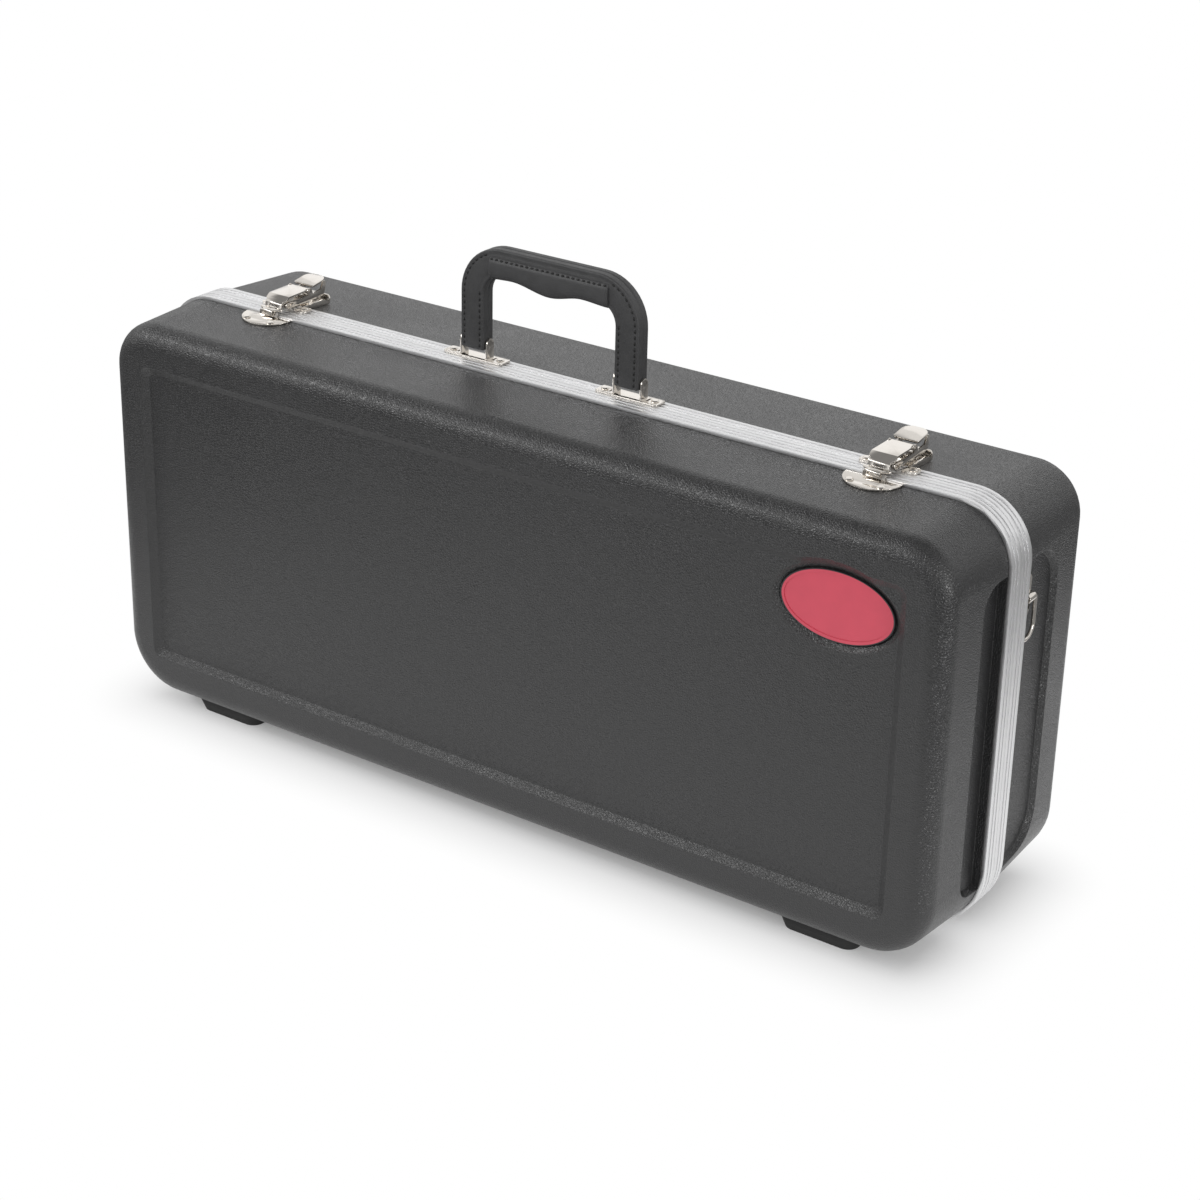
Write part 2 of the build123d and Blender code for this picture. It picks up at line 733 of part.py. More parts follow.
def latch_hook(centre, end):
    """Claw plate: rolled barrel, sloped brow with a curved edge, slotted nose and rounded hook."""
    top_z = hook_pivot[1] + hook_barrel_radius - sheet / 2
    lip_front = keeper_y - sheet - keeper_fit - sheet / 2
    tongue_z = shell_top + keeper_lip_rise + hook_over_lip + sheet / 2
    points = [
        (hook_pivot[0], top_z),
        (split_y + hook_bend_y, top_z - hook_lift),
        (split_y + hook_brow_y, shell_top + hook_brow_rise),
        (split_y + hook_nose_y, tongue_z),
        (lip_front, tongue_z),
        (lip_front, shell_top + keeper_thickness + hook_end_clearance),
    ]
    path = FilletPolyline(*points, radius=hook_bend_radius)
    plate = across(Plane.YZ * trace(path, line_width=sheet), hook_wing_width)
    shoulder = split_y + hook_shoulder_y
    brow = split_y + hook_brow_y - sheet / 2
    wide = Pos(0, (shoulder + brow) / 2) * Rectangle(hook_width, shoulder - brow)
    arc = Pos(0, brow + hook_arc_radius) * Circle(hook_arc_radius)
    arc += Pos(0, (shoulder + brow) / 2 + hook_arc_radius / 2) * Rectangle(hook_width, shoulder - brow)
    plan = wide & arc
    plan += Pos(0, (shoulder + hook_pivot[0]) / 2) * Rectangle(hook_neck_width, hook_pivot[0] - shoulder)
    wing_y = split_y + hook_nose_y - sheet
    plan += Pos(0, (shoulder + wing_y) / 2) * Rectangle(hook_face_width, shoulder - wing_y)
    depth = wing_y - lip_front - hook_bend_radius
    wing = Pos(0, wing_y) * Ellipse(hook_wing_width / 2, depth)
    plan += wing & Pos(0, wing_y - depth / 2) * Rectangle(hook_wing_width, depth)
    tip = wing_y - lip_front + sheet
    plan += Pos(0, wing_y - tip / 2) * Rectangle(hook_tip_width, tip)
    plate &= Pos(0, 0, shell_top) * extrude(plan, amount=2 * hook_pivot_rise)
    plate += rod_x(hook_pivot, hook_barrel_radius, hook_neck_width)
    plate -= rod_x(hook_pivot, latch_pin_radius + running_fit, oversize)
    slot = Box(hook_slot_length, 4 * sheet, hook_slot_height)
    plate -= Pos(0, split_y + hook_nose_y, shell_top + hook_slot_rise) * slot
    write(f"latch_hook_{end}", Pos(centre, 0, 0) * plate)


def latches():
    keepers()
    for centre, end in zip(latch_centres, ("left", "right")):
        latch_base(centre, end)
        latch_lever(centre, end)
        latch_hook(centre, end)
    group("latch_base_rivets", base_flange_rivets + base_plate_rivets)


def handle_bracket(centre, end):
    """Plate with two ears that hold one end of the handle."""
    thick = bracket_thickness
    flat = RectangleRounded(bracket_length, bracket_width, bracket_corner_radius)
    for side in (-1, 1):
        slot = SlotOverall(bracket_slot_length, bracket_slot_width, rotation=90)
        flat -= Pos(side * bracket_slot_offset, 0) * slot
    plate = Pos(centre, bracket_y, bracket_plate_z) * extrude(flat, amount=thick)
    rise = handle_pin_z - bracket_plate_z
    ear = Pos(0, rise) * Circle(bracket_ear_radius)
    ear += Pos(0, rise / 2) * Rectangle(2 * bracket_ear_radius, rise)
    ear = extrude(Plane.YZ * ear, amount=bracket_ear_thickness)
    inside = handle_leg_width / 2 + bracket_ear_gap
    for place in (inside, -inside - bracket_ear_thickness):
        plate += Pos(centre + place, bracket_y, bracket_plate_z) * ear
    plate -= Pos(centre, 0, 0) * rod_x((bracket_y, handle_pin_z), handle_pin_radius, oversize)
    write(f"handle_bracket_{end}", drilled(plate, bracket_rivets))
    length = 2 * (inside + bracket_ear_thickness)
    pin = Pos(centre, 0, 0) * rod_x((bracket_y, handle_pin_z), handle_pin_radius, length)
    write(f"handle_pin_{end}", pin)


def handle_path(drop):
    """Middle line of the handle, from one leg's end to the other's."""
    reach = handle_leg_spacing / 2
    low = handle_leg_clearance + drop
    high = handle_rise - handle_leg_width / 2
    bend = handle_corner_radius - handle_leg_width / 2
    return FilletPolyline((-reach, low), (-reach, high), (reach, high), (reach, low), radius=bend)


def upright_solid(profile, thickness):
    """Profile in the XZ plane of the handle made solid at its real place."""
    solid = extrude(Plane.XZ * profile, amount=thickness / 2, both=True)
    return Pos(handle_x, bracket_y, shell_top) * solid


def handle_pin_bore(shape, fit):
    return shape - rod_x((bracket_y, handle_pin_z), handle_pin_radius + fit, oversize)


def grip_profile():
    """Padded sleeve seen from the front, with finger hollows below."""
    top = handle_rise - grip_top_drop
    low = top - grip_depth
    half = grip_length / 2
    under = Spline([(half * along, low + grip_finger_depth * up) for along, up in grip_finger_shape])
    side_left = Line(under @ 0, (-half, top))
    side_right = Line(under @ 1, (half, top))
    return make_face(under + side_left + Line((-half, top), (half, top)) + side_right)


def handle():
    core_profile = trace(handle_path(core_end_gap), line_width=core_thickness)
    core = upright_solid(core_profile, core_width)
    write("handle_core", handle_pin_bore(core, running_fit))
    socket = upright_solid(trace(handle_path(0), line_width=core_thickness + 2 * core_fit),
                           core_width + 2 * core_fit)
    cover = upright_solid(trace(handle_path(0), line_width=handle_leg_width), handle_thickness)
    long_edges = [edge for face in cover.faces().filter_by(Axis.Y) for edge in face.edges()
                  if edge.length > handle_leg_spacing / 3]
    cover = fillet(long_edges, handle_edge_radius)
    write("handle_cover", handle_pin_bore(cover - socket, handle_pin_fit))
    grip = upright_solid(grip_profile(), grip_thickness)
    long_edges = [edge for face in grip.faces().filter_by(Axis.Y) for edge in face.edges()
                  if edge.length > grip_length / 2]
    grip = fillet(long_edges, grip_edge_radius)
    bar = upright_solid(trace(handle_path(0), line_width=handle_leg_width + 2 * core_fit),
                        handle_thickness + 2 * core_fit)
    write("handle_grip", grip - bar)
    for centre, end in zip(bracket_centres, ("left", "right")):
        handle_bracket(centre, end)
    group("handle_bracket_rivets", bracket_rivets)


def strap_hardware():
    """Riveted plate with a saddle, and a D ring that hangs from it, at each end."""
    y, z = strap_centre
    for side, end in ((-1, "left"), (1, "right")):
        place = sideways(side, y, z, strap_floor_x + seat_gap)
        flat = RectangleRounded(strap_plate_width, strap_plate_height, strap_plate_corner)
        plate = extrude(flat, amount=strap_plate_thickness)
        bore = ring_wire_radius + ring_clearance
        arch_z = ring_axis_x - strap_floor_x - seat_gap
        arch = Circle(bore + saddle_thickness)
        arch += Pos(0, -arch_z / 2) * Rectangle(2 * (bore + saddle_thickness), arch_z)
        arch -= Circle(bore)
        arch -= Pos(0, -arch_z / 2) * Rectangle(2 * bore, arch_z)
        saddle = extrude(Plane.YZ * arch, amount=saddle_width / 2, both=True)
        saddle = Pos(0, 0, arch_z) * saddle
        plate += saddle
        plate = place * plate
        write(f"strap_plate_{end}", drilled(plate, strap_rivets))
        width = ring_width - 2 * ring_wire_radius
        height = ring_height - 2 * ring_wire_radius
        low_radius = width / 2 - seat_gap
        path = Rectangle(width, height)
        path = fillet(path.vertices().group_by(Axis.Y)[0], low_radius)
        path = fillet(path.vertices().group_by(Axis.Y)[-1], ring_top_radius)
        loop = path.face().outer_wire()
        start = Plane(origin=loop @ 0, z_dir=loop % 0)
        hoop = sweep(start * Circle(ring_wire_radius), path=loop)
        axis_place = sideways(side, y, z - height / 2, ring_axis_x)
        write(f"strap_ring_{end}", axis_place * hoop)
    group("strap_plate_rivets", strap_rivets)


shells_and_valances()
badge()
hinges()
feet(True)
feet(False)
latches()
handle()
strap_hardware()
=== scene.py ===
import json
import math

import bmesh
import bpy
from bpy.props import FloatProperty, FloatVectorProperty, IntProperty, PointerProperty
from mathutils import Matrix, Vector

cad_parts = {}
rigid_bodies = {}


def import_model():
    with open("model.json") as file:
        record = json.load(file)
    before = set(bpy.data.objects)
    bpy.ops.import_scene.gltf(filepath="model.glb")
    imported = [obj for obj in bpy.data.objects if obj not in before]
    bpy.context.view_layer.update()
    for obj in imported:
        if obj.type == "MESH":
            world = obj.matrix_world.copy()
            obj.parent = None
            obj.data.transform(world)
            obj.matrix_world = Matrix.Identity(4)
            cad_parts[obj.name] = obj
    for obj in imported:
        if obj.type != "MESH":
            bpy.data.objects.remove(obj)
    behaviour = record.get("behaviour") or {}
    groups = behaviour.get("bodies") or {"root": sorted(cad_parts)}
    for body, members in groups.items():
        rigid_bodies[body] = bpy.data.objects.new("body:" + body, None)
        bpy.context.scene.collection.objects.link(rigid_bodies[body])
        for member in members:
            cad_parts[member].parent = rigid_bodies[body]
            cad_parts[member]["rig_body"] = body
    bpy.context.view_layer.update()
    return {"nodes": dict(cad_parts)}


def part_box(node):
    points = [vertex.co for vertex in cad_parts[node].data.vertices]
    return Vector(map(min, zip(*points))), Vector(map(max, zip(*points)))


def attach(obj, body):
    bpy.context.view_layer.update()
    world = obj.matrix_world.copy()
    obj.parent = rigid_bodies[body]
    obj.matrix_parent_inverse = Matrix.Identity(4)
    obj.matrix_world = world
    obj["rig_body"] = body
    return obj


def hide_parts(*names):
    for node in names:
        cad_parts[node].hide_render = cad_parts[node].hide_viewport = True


bl_info = {
    "name": "Alto saxophone case",
    "version": (1, 0, 0),
    "blender": (4, 5, 0),
    "location": "3D View > Sidebar > Case",
    "description": "Finishes, lining, stitched handle and stage of a hard case for an alto saxophone",
    "category": "Object",
}

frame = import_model()

MM = 0.001
QUARTER = math.pi / 2
SIDES = ("left", "right")
HALVES = ("front", "rear")

cover_low, cover_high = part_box("handle_cover")
grip_low, grip_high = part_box("handle_grip")
badge_low, badge_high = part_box("badge")

# Finishes
NOISE_BAND = (0.3, 0.7)        # most of a noise's values lie in it
PEBBLE_DEPTH = 0.10            # relief of a pebbled grain, as a share of one pebble's size
PEBBLE_WANDER = 0.7            # how finely the creases wander: turns on one pebble
PORE_SIZE, PORE_DEPTH = 0.3, 0.012   # finer grain on the pebbles, as shares of a pebble's size
DRAWN_LINES = (0.01, 1.0, 0.01)      # the strips are drawn along x and z, so lines are long there
THREAD_TWIST = (1.0, 0.4, 1.0)       # strands of the thread are longer across the handle

# Meshes
JOIN = 0.002 * MM              # points closer than this are one point
FLAT_ANGLE = math.radians(1)   # faces that bend less than this are one face
EDGE_ANGLE = math.radians(35)  # edges sharper than this are rounded
EDGE_SEGMENTS = 2

# Lining
PLUSH_SOFTNESS = 0.6           # share of each smoothing pass
PLUSH_WAVE = 26 * MM           # size of one wave of the padding
PLUSH_WAVE_DEPTH = 2           # layers of finer waves
PLUSH_LEVEL = 0.9              # share of the waves that stays within the solid lining

# Handle cover
SEAM_SINK = 0.4 * MM           # groove along the stitches: depth and width
SEAM_WIDTH = 0.7 * MM
CROWN = 0.2 * MM               # swell of the cover's middle: height and width
CROWN_WIDTH = 4.0 * MM
SIDE_SINK = 0.45 * MM          # groove where the layers meet at the sides
SIDE_WIDTH = 0.6 * MM
SKIN_BAND = 0.1 * MM           # points this near a face are part of it
LEG_RINGS, BEND_RINGS, TOP_RINGS = 12, 14, 24
COVER_END, COVER_END_SEGMENTS = 0.9 * MM, 3
BORE_PLAY = 0.4 * MM           # from a pin to the cover's bore
BORE_SEGMENTS = 28

# Handle grip
GRIP_SEGMENTS = 64             # points round the sleeve
GRIP_POWER_ABOVE, GRIP_POWER_BELOW = 6.0, 3.2   # squareness of the section's two halves
GRIP_TAPER, GRIP_TAPER_POWER = 0.12, 4       # share by which it narrows to its top, and how late
GRIP_END_TAPER, GRIP_END_POWER = 0.05, 6     # the same towards its ends
GRIP_SEAM = 1.6 * MM           # from the top down to the side seams
GRIP_SEAM_SINK = 0.45 * MM     # groove along them: depth and width
GRIP_SEAM_WIDTH = 0.8 * MM
GRIP_END, GRIP_END_SEGMENTS = 1.1 * MM, 4
# Height of the sleeve's underside along its length: (place from -1 to 1, share of the hollows' depth)
FINGERS = ((-1.0, 0.8), (-0.62, 1.0), (0.0, 0.0), (0.55, 0.9), (1.0, 0.6))

# Stitches
THREAD_SINK = 0.55 * MM        # from the cover's face down to the thread's middle
FIRST_STITCH = 3.0 * MM        # from a leg's end to its first stitch
GRIP_MARGIN = 1.0 * MM         # the cover's stitches stop this far from the sleeve
GRIP_ROW_INSET = 5.0 * MM      # what the sleeve's rows of stitches leave free
GRIP_ROW_SHARE = 0.95          # share of the sleeve's length that its rows cover
SECTION_STEPS = 400            # steps of the search for the sleeve's skin

# Floor and room
FLOOR_SEGMENTS = 96
SHADOW_REACH = (0.30, 0.07, 1.0)  # half size of the part that keeps the whole shadow, at any height
SHADOW_FADE = (-0.025, 0.065)     # from there to this distance the shadow fades out
WALL_FOOT = (0.0, 0.2)            # rise of a ray over which the pale walls begin
WALL_TOP = (0.66, 0.84)           # rise of a ray over which they end
# The back lamp lights the top, the key lamp is mirrored by the front's upper rounding, and the
# right lamp lights the right end.
LAMPS = (
    {"name": "lamp_back", "place": (-1.3, 2.4, 1.0), "aim": (0, 0, 0.2),
     "size": (3.4, 1.5), "power": 4.0},
    {"name": "lamp_key", "place": (-1.1, -1.35, 1.24), "aim": (0, 0, 0.15),
     "size": (2.0, 0.28), "power": 13.0},
    {"name": "lamp_right", "place": (1.7, -0.55, 0.32), "aim": (0.3, -0.05, 0.15),
     "size": (0.35, 0.6), "power": 6.0},
)


def colour_property(name, description, default):
    return FloatVectorProperty(name=name, description=description, subtype="COLOR", size=3,
                               min=0.0, max=1.0, default=default)


def length_property(name, description, default):
    return FloatProperty(name=name, description=description, unit="LENGTH", min=0.0,
                         precision=4, default=default)


def angle_property(name, description, degrees):
    return FloatProperty(name=name, description=description, subtype="ANGLE",
                         default=math.radians(degrees))


class CaseFinishes(bpy.types.PropertyGroup):
    """Colours, grain sizes and edge roundings of the case's finishes."""
    shell: colour_property("Shell", "Moulded plastic of both shells", (0.014, 0.014, 0.0145))
    aluminium: colour_property("Aluminium", "Extruded strips round the split", (0.76, 0.76, 0.765))
    nickel: colour_property("Nickel", "Plated latches, brackets and rings", (0.66, 0.625, 0.58))
    steel: colour_property("Steel", "Screws and the strip in the handle", (0.55, 0.55, 0.56))
    leather: colour_property("Leather", "Cover and grip of the handle", (0.036, 0.036, 0.037))
    # The thread is dark of its own, and this colour is darker still: painted shade of the stitch holes.
    thread: colour_property("Thread", "Stitches of the handle", (0.004, 0.004, 0.004))
    rubber: colour_property("Rubber", "Feet", (0.016, 0.016, 0.016))
    plush: colour_property("Plush", "Lining of both halves", (0.022, 0.023, 0.026))
    badge: colour_property("Badge", "Field of the oval badge", (0.55, 0.060, 0.095))
    badge_rim: colour_property("Badge rim", "Rim of the oval badge", (0.02, 0.02, 0.022))
    shell_grain: length_property("Shell grain", "Size of one pebble of the shell's grain", 1.6 * MM)
    shell_edge: length_property("Shell edge", "Rounding of the shell's moulded edges", 0.9 * MM)
    strip_edge: length_property("Strip edge", "Rounding of the aluminium strips' edges", 0.35 * MM)
    leather_grain: length_property("Leather grain", "Size of one pebble of the leather", 0.9 * MM)
    edge: length_property("Sheet edge", "Rounding of the pressed metal's edges", 0.22 * MM)


class HandleSizes(bpy.types.PropertyGroup):
    """Sizes of the handle's stitched cover and grip."""
    width: length_property("Width", "Width of a leg", 18.0 * MM)
    thickness: length_property("Thickness", "Thickness of the cover", cover_high.y - cover_low.y)
    corner: length_property("Corner", "Outer radius of the two corners", 32.0 * MM)
    stitch_inset: length_property("Stitch inset", "From a leg's edge to its stitches", 2.9 * MM)
    stitch_pitch: length_property("Stitch pitch", "From one stitch to the next", 3.9 * MM)
    stitch_length: length_property("Stitch length", "Length of one stitch", 2.7 * MM)
    stitch_radius: length_property("Stitch radius", "Radius of the thread", 0.72 * MM)
    edge: length_property("Edge", "Rounding of the cover's long edges", 1.6 * MM)
    finger_depth: length_property("Finger hollows", "Depth of the hollows under the grip", 4.6 * MM)
    steps: IntProperty(name="Steps", description="Rings along the grip", min=8, max=96, default=46)


class LiningSizes(bpy.types.PropertyGroup):
    """Softness of the plush lining."""
    skin: length_property("Skin", "Size of one face of the soft skin", 3.6 * MM)
    rounding: IntProperty(name="Rounding", description="How far the rims are rounded",
                          min=0, max=40, default=7)
    give: length_property("Give", "Depth of the padding's unevenness", 1.6 * MM)


class StageSettings(bpy.types.PropertyGroup):
    """Camera place and light of the photograph."""
    lens: FloatProperty(name="Lens", description="Focal length in millimetres", default=79.515)
    azimuth: angle_property("Azimuth", "Camera's turn round the case", 34.83)
    elevation: angle_property("Elevation", "Camera's rise above the horizon", 24.24)
    roll: angle_property("Roll", "Camera's turn about its own axis", 1.339)
    distance: length_property("Distance", "From the aim to the camera", 1691.9 * MM)
    aim: FloatVectorProperty(name="Aim", description="Point that the camera looks at",
                             subtype="XYZ", size=3, default=(0.04165, -0.0230, 0.1652))
    shift: FloatProperty(name="Shift", description="Upward shift of the frame", default=-0.01348)
    reach: length_property("Reach", "Farthest thing that the camera shows", 100.0)
    floor: colour_property("Floor", "Pale floor", (0.93, 0.93, 0.93))
    table: length_property("Table", "Radius of the pale floor", 0.62)
    ambient: FloatProperty(name="Ambient", description="Even light from all round", default=0.80)
    ceiling: FloatProperty(name="Ceiling", default=0.28,
                           description="Level that reflections show above and below the walls")


# ---- materials

def set_sockets(node, values):
    for name, value in values.items():
        node.inputs[name].default_value = value


def add_node(tree, kind, links=(), sockets=None, **settings):
    """Adds a node, makes its settings, fills its sockets and links sources to its inputs."""
    made = tree.nodes.new(kind)
    for name, value in settings.items():
        setattr(made, name, value)
    set_sockets(made, sockets or {})
    for socket, source in links:
        tree.links.new(source, made.inputs[socket])
    return made


def new_material(name, **sockets):
    """Material with one Principled shader and the given values in its own sockets."""
    material = bpy.data.materials.new(name)
    material.use_nodes = True
    tree = material.node_tree
    tree.nodes.clear()
    surface = add_node(tree, "ShaderNodeBsdfPrincipled",
                       sockets={key.replace("_", " "): value for key, value in sockets.items()})
    add_node(tree, "ShaderNodeOutputMaterial", [("Surface", surface.outputs["BSDF"])])
    return material, tree, surface


def object_place(tree, scale=(1.0, 1.0, 1.0)):
    place = add_node(tree, "ShaderNodeTexCoord")
    mapping = add_node(tree, "ShaderNodeMapping", [("Vector", place.outputs["Object"])], {"Scale": scale})
    return mapping.outputs["Vector"]


def math_node(tree, operation, *sources):
    made = add_node(tree, "ShaderNodeMath", enumerate(sources), operation=operation)
    return made.outputs[0]


def vector_node(tree, operation, *sources, sockets=None):
    """Vector maths; its output is the length where that is what is worked out."""
    made = add_node(tree, "ShaderNodeVectorMath", enumerate(sources), sockets, operation=operation)
    return made.outputs["Value" if operation == "LENGTH" else "Vector"]


def noise(tree, place, size, detail, roughness=0.5):
    made = add_node(tree, "ShaderNodeTexNoise", [("Vector", place)],
                    {"Scale": 1.0 / size, "Detail": detail, "Roughness": roughness})
    return made.outputs["Fac"]


def spread(tree, source, low, high, to_low, to_high, smooth=False):
    """Maps a value from one range to another."""
    made = add_node(tree, "ShaderNodeMapRange", [("Value", source)],
                    {"From Min": low, "From Max": high, "To Min": to_low, "To Max": to_high},
                    interpolation_type="SMOOTHSTEP" if smooth else "LINEAR")
    return made.outputs["Result"]


def pebbles(tree, place, size, warp=0.35, crease=0.28):
    """Height of a pebbled grain: raised cells with sunk creases between them."""
    wander = add_node(tree, "ShaderNodeTexNoise", [("Vector", place)],
                      {"Scale": PEBBLE_WANDER / size, "Detail": 2.0})
    bent = vector_node(tree, "SCALE", wander.outputs["Color"], sockets={"Scale": warp * size})
    moved = vector_node(tree, "ADD", place, bent)
    cells = add_node(tree, "ShaderNodeTexVoronoi", [("Vector", moved)], {"Scale": 1.0 / size},
                     feature="DISTANCE_TO_EDGE")
    return spread(tree, cells.outputs["Distance"], 0.0, crease, 0.0, 1.0, smooth=True)


def bump(tree, surface, height, depth, strength, before=None):
    """Relief of a height, on top of the normal that came before it."""
    made = add_node(tree, "ShaderNodeBump", [("Height", height)],
                    {"Distance": depth, "Strength": strength})
    if before is not None:
        tree.links.new(before, made.inputs["Normal"])
    tree.links.new(made.outputs["Normal"], surface.inputs["Normal"])
    return made.outputs["Normal"]


def mix_colours(tree, surface, factor, links=(), sockets=None):
    """Base colour mixed from the colours A and B, which are sockets 6 and 7 of the node."""
    mix = add_node(tree, "ShaderNodeMix", [(0, factor), *links], data_type="RGBA")
    for socket, colour in (sockets or {}).items():
        mix.inputs[socket].default_value = (*colour, 1.0)
    tree.links.new(mix.outputs[2], surface.inputs["Base Color"])
    return mix.outputs[2]


def shade(tree, surface, colour, factor, dark, light):
    """Base colour that goes from dark to light times the given colour with the factor."""
    ends = [tuple(part * share for part in colour) for share in (dark, light)]
    return mix_colours(tree, surface, factor, sockets={6: ends[0], 7: ends[1]})


def vary_roughness(tree, surface, clouds, smooth, rough):
    """Roughness that wanders between two values with a noise."""
    wander = spread(tree, clouds, *NOISE_BAND, smooth, rough)
    tree.links.new(wander, surface.inputs["Roughness"])


def shell_material(finishes):
    material, tree, surface = new_material("grained_shell", Specular_IOR_Level=0.66)
    place = object_place(tree)
    size = finishes.shell_grain
    grain = pebbles(tree, place, size)
    pores = noise(tree, place, size=size * PORE_SIZE, detail=2.0)
    clouds = noise(tree, place, size=60 * MM, detail=4.0)
    shade(tree, surface, finishes.shell, clouds, dark=0.85, light=1.2)
    vary_roughness(tree, surface, clouds, smooth=0.29, rough=0.37)
    rounded = add_node(tree, "ShaderNodeBevel", sockets={"Radius": finishes.shell_edge}, samples=4)
    first = bump(tree, surface, grain, depth=PEBBLE_DEPTH * size, strength=0.95,
                 before=rounded.outputs["Normal"])
    bump(tree, surface, pores, depth=PORE_DEPTH * size, strength=0.8, before=first)
    return material


def aluminium_material(finishes):
    material, tree, surface = new_material("drawn_aluminium", Metallic=1.0)
    lines = noise(tree, object_place(tree, DRAWN_LINES), size=2.4 * MM, detail=2.0)
    clouds = noise(tree, object_place(tree), size=20 * MM, detail=3.0)
    shade(tree, surface, finishes.aluminium, lines, dark=0.93, light=1.07)
    vary_roughness(tree, surface, clouds, smooth=0.38, rough=0.46)
    bump(tree, surface, lines, depth=0.03 * MM, strength=0.3)
    return material


def nickel_material(finishes):
    material, tree, surface = new_material("nickel_plate", Metallic=1.0)
    place = object_place(tree)
    clouds = noise(tree, place, size=6 * MM, detail=4.0)
    dents = noise(tree, place, size=1.1 * MM, detail=2.0)
    shade(tree, surface, finishes.nickel, clouds, dark=0.9, light=1.08)
    vary_roughness(tree, surface, clouds, smooth=0.09, rough=0.16)
    bump(tree, surface, dents, depth=0.01 * MM, strength=0.5)
    return material


def steel_material(finishes):
    material, tree, surface = new_material("zinc_steel", Metallic=1.0)
    clouds = noise(tree, object_place(tree), size=3 * MM, detail=4.0)
    shade(tree, surface, finishes.steel, clouds, dark=0.8, light=1.1)
    vary_roughness(tree, surface, clouds, smooth=0.3, rough=0.42)
    bump(tree, surface, clouds, depth=0.02 * MM, strength=0.4)
    return material


def leather_material(finishes):
    material, tree, surface = new_material("handle_leather")
    place = object_place(tree)
    size = finishes.leather_grain
    grain = pebbles(tree, place, size, warp=0.6)
    folds = noise(tree, place, size=7 * MM, detail=4.0, roughness=0.6)
    shade(tree, surface, finishes.leather, folds, dark=0.75, light=1.45)
    vary_roughness(tree, surface, folds, smooth=0.42, rough=0.56)
    first = bump(tree, surface, folds, depth=0.6 * MM, strength=0.35)
    bump(tree, surface, grain, depth=PEBBLE_DEPTH * size, strength=0.7, before=first)
    return material


def thread_material(finishes):
    material, tree, surface = new_material("waxed_thread", Roughness=0.55)
    strands = noise(tree, object_place(tree, THREAD_TWIST), size=0.3 * MM, detail=2.0)
    # The thread's own dark colour, made darker still as painted shade of the stitch holes, and varied at
    # random by the strands.
    shade(tree, surface, finishes.thread, strands, dark=0.7, light=1.3)
    bump(tree, surface, strands, depth=0.08 * MM, strength=0.7)
    return material


def rubber_material(finishes):
    material, tree, surface = new_material("foot_rubber", Roughness=0.82)
    place = object_place(tree)
    dust = noise(tree, place, size=8 * MM, detail=5.0)
    shade(tree, surface, finishes.rubber, dust, dark=0.8, light=1.5)
    bump(tree, surface, noise(tree, place, size=0.5 * MM, detail=3.0), depth=0.1 * MM, strength=0.6)
    return material


def plush_material(finishes):
    material, tree, surface = new_material("plush_lining", Roughness=0.95, Sheen_Weight=0.35,
                                           Sheen_Roughness=0.45, Specular_IOR_Level=0.2)
    place = object_place(tree)
    pile = noise(tree, place, size=0.7 * MM, detail=3.0, roughness=0.7)
    brushed = noise(tree, place, size=35 * MM, detail=3.0, roughness=0.6)
    shade(tree, surface, finishes.plush, brushed, dark=0.6, light=1.7)
    first = bump(tree, surface, brushed, depth=1.2 * MM, strength=0.5)
    bump(tree, surface, pile, depth=0.6 * MM, strength=0.9, before=first)
    return material


def badge_material(finishes, rim_inner=0.972, rim_outer=0.982, flat=1000.0):
    """Plain field inside a dark rim, parted by an ellipse of the badge's own size."""
    material, tree, surface = new_material("badge_enamel", Roughness=0.32)
    middle = (badge_low + badge_high) / 2
    half = (badge_high - badge_low) / 2
    place = add_node(tree, "ShaderNodeTexCoord")
    ellipse = add_node(tree, "ShaderNodeMapping", [("Vector", place.outputs["Object"])],
                       {"Location": middle, "Scale": (half.x, flat, half.z)}, vector_type="TEXTURE")
    far = vector_node(tree, "LENGTH", ellipse.outputs["Vector"])
    rim = spread(tree, far, rim_inner, rim_outer, 0.0, 1.0)
    clouds = noise(tree, object_place(tree), size=12 * MM, detail=3.0)
    grain = noise(tree, object_place(tree), size=0.9 * MM, detail=2.0)
    field = shade(tree, surface, finishes.badge, clouds, dark=0.92, light=1.08)
    mix_colours(tree, surface, rim, [(6, field)], {7: finishes.badge_rim})
    bump(tree, surface, grain, depth=0.02 * MM, strength=0.4)
    return material


def dress(names, material):
    """Gives CAD nodes or new pieces a material."""
    for name in names:
        piece = frame["nodes"].get(name) or bpy.data.objects[name]
        piece.data.materials.clear()
        piece.data.materials.append(material)


# ---- meshes

def new_piece(bm, name, smooth=True):
    """Turns a bmesh into an object at the origin."""
    mesh = bpy.data.meshes.new(name)
    bm.to_mesh(mesh)
    bm.free()
    for face in mesh.polygons:
        face.use_smooth = smooth
    piece = bpy.data.objects.new(name, mesh)
    bpy.context.scene.collection.objects.link(piece)
    return piece


def finish_piece(bm, name, smooth=True):
    """Joins a bmesh's doubled points, turns its faces outwards and makes it an object."""
    bmesh.ops.remove_doubles(bm, verts=bm.verts, dist=JOIN)
    bmesh.ops.recalc_face_normals(bm, faces=bm.faces)
    return new_piece(bm, name, smooth)


def joined_copy(node):
    """A CAD node's triangles, joined at their points."""
    bm = bmesh.new()
    bm.from_mesh(frame["nodes"][node].data)
    bmesh.ops.remove_doubles(bm, verts=bm.verts, dist=JOIN)
    return bm


def add_modifier(piece, name, kind, **settings):
    modifier = piece.modifiers.new(name, kind)
    for key, value in settings.items():
        setattr(modifier, key, value)


def applied(piece):
    """Replaces a piece's mesh by its shape after the modifiers."""
    graph = bpy.context.evaluated_depsgraph_get()
    mesh = bpy.data.meshes.new_from_object(piece.evaluated_get(graph))
    old = piece.data
    piece.modifiers.clear()
    piece.data = mesh
    mesh.name = piece.name
    bpy.data.meshes.remove(old)


